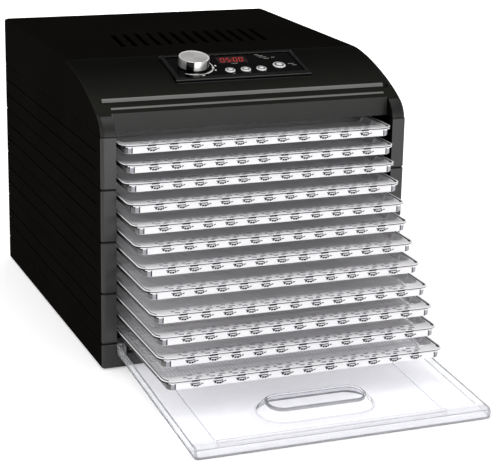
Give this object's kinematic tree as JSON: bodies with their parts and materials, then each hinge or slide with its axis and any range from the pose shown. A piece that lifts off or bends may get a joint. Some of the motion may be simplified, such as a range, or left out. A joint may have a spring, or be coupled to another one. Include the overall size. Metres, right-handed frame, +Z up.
{
  "type": "food dehydrator",
  "caption": "Boxy front-loading food dehydrator with sliding clear mesh trays, a clear drop-down door, a sloping control panel and a rear fan.",
  "frame": {"origin": "middle of the bounding box's bottom face, on the table, with the door open and the trays part pulled out", "axes": "-Y towards the open door, +Y towards the rear cover, +X to the right seen from the front, +Z up"},
  "size_m": [0.342, 0.6756, 0.3148],
  "materials": {
    "housing_plastic": "satin dark brown-black moulded plastic",
    "inner_plastic": "matte black",
    "feet_rubber": "matte black rubber",
    "bezel_plastic": "polished black",
    "display_plastic": "tinted dark red, polished",
    "silver": "bright brushed and plated",
    "board": "green laminate",
    "steel": "plain steel",
    "shroud_metal": "plain sheet",
    "ceramic": "off-white insulator",
    "fan_plastic": "matte dark grey",
    "tray_plastic": "clear moulded plastic, slightly frosted",
    "door_plastic": "clear moulded plastic, polished"
  },
  "bodies": {
    "housing": {"base": "housing_plastic", "foot_1": "feet_rubber", "foot_2": "feet_rubber", "foot_3": "feet_rubber", "foot_4": "feet_rubber", "section_1": "housing_plastic", "section_2": "housing_plastic", "section_3": "housing_plastic", "section_4": "housing_plastic", "top_cover": "housing_plastic", "chamber_ceiling": "inner_plastic", "control_bezel": "bezel_plastic", "control_panel": "bezel_plastic", "display_window": "display_plastic", "circuit_board": "board", "display_module": "display_plastic", "encoder": "steel", "hinge_pin_left": "steel", "hinge_pin_right": "steel", "air_diffuser": "inner_plastic", "fan_shroud": "shroud_metal", "fan_motor": "steel", "heating_element": "steel", "heater_clip": "ceramic", "thermal_cutout": "steel", "rear_cover": "housing_plastic", "rear_screw_1": "steel", "rear_screw_2": "steel", "rear_screw_3": "steel", "rear_screw_4": "steel", "cord_gland": "feet_rubber"},
    "door": {"door": "door_plastic"},
    "knob": {"knob": "silver", "encoder_shaft": "steel"},
    "button_1": {"button_1": "silver"},
    "button_2": {"button_2": "silver"},
    "button_3": {"button_3": "silver"},
    "start_button": {"start_button": "silver"},
    "fan": {"fan_impeller": "fan_plastic", "motor_shaft": "steel"},
    "tray_1": {"tray_1": "tray_plastic"},
    "tray_2": {"tray_2": "tray_plastic"},
    "tray_3": {"tray_3": "tray_plastic"},
    "tray_4": {"tray_4": "tray_plastic"},
    "tray_5": {"tray_5": "tray_plastic"},
    "tray_6": {"tray_6": "tray_plastic"},
    "tray_7": {"tray_7": "tray_plastic"},
    "tray_8": {"tray_8": "tray_plastic"},
    "tray_9": {"tray_9": "tray_plastic"},
    "tray_10": {"tray_10": "tray_plastic"},
    "tray_11": {"tray_11": "tray_plastic"},
    "tray_12": {"tray_12": "tray_plastic"}
  },
  "joints": [
    {"name": "door_hinge", "type": "hinge", "parent": "housing", "child": "door", "pos_m": [0, -0.08419, 0.023], "axis": [-1, 0, 0], "range_deg": [0, 7]},
    {"name": "knob_turn", "type": "hinge", "parent": "housing", "child": "knob", "pos_m": [-0.0408, -0.00091, 0.30148], "axis": [0, -0.2292, 0.9734], "range_deg": [-135, 135]},
    {"name": "button_1_press", "type": "slide", "parent": "housing", "child": "button_1", "axis": [0, 0.2292, -0.9734], "range_m": [0, 0.001], "stiffness_N_per_m": 400},
    {"name": "button_2_press", "type": "slide", "parent": "housing", "child": "button_2", "axis": [0, 0.2292, -0.9734], "range_m": [0, 0.001], "stiffness_N_per_m": 400},
    {"name": "button_3_press", "type": "slide", "parent": "housing", "child": "button_3", "axis": [0, 0.2292, -0.9734], "range_m": [0, 0.001], "stiffness_N_per_m": 400},
    {"name": "start_button_press", "type": "slide", "parent": "housing", "child": "start_button", "axis": [0, 0.2292, -0.9734], "range_m": [0, 0.001], "stiffness_N_per_m": 400},
    {"name": "fan_spin", "type": "hinge", "parent": "housing", "child": "fan", "pos_m": [0, 0.26981, 0.14], "axis": [0, 1, 0], "continuous": true},
    {"name": "tray_1_slide", "type": "slide", "parent": "housing", "child": "tray_1", "axis": [0, 1, 0], "range_m": [-0.233, 0.027]},
    {"name": "tray_2_slide", "type": "slide", "parent": "housing", "child": "tray_2", "axis": [0, 1, 0], "range_m": [-0.226, 0.034]},
    {"name": "tray_3_slide", "type": "slide", "parent": "housing", "child": "tray_3", "axis": [0, 1, 0], "range_m": [-0.221, 0.039]},
    {"name": "tray_4_slide", "type": "slide", "parent": "housing", "child": "tray_4", "axis": [0, 1, 0], "range_m": [-0.208, 0.052]},
    {"name": "tray_5_slide", "type": "slide", "parent": "housing", "child": "tray_5", "axis": [0, 1, 0], "range_m": [-0.194, 0.066]},
    {"name": "tray_6_slide", "type": "slide", "parent": "housing", "child": "tray_6", "axis": [0, 1, 0], "range_m": [-0.184, 0.076]},
    {"name": "tray_7_slide", "type": "slide", "parent": "housing", "child": "tray_7", "axis": [0, 1, 0], "range_m": [-0.169, 0.091]},
    {"name": "tray_8_slide", "type": "slide", "parent": "housing", "child": "tray_8", "axis": [0, 1, 0], "range_m": [-0.152, 0.108]},
    {"name": "tray_9_slide", "type": "slide", "parent": "housing", "child": "tray_9", "axis": [0, 1, 0], "range_m": [-0.132, 0.128]},
    {"name": "tray_10_slide", "type": "slide", "parent": "housing", "child": "tray_10", "axis": [0, 1, 0], "range_m": [-0.12, 0.14]},
    {"name": "tray_11_slide", "type": "slide", "parent": "housing", "child": "tray_11", "axis": [0, 1, 0], "range_m": [-0.109, 0.151]},
    {"name": "tray_12_slide", "type": "slide", "parent": "housing", "child": "tray_12", "axis": [0, 1, 0], "range_m": [-0.094, 0.166]}
  ]
}
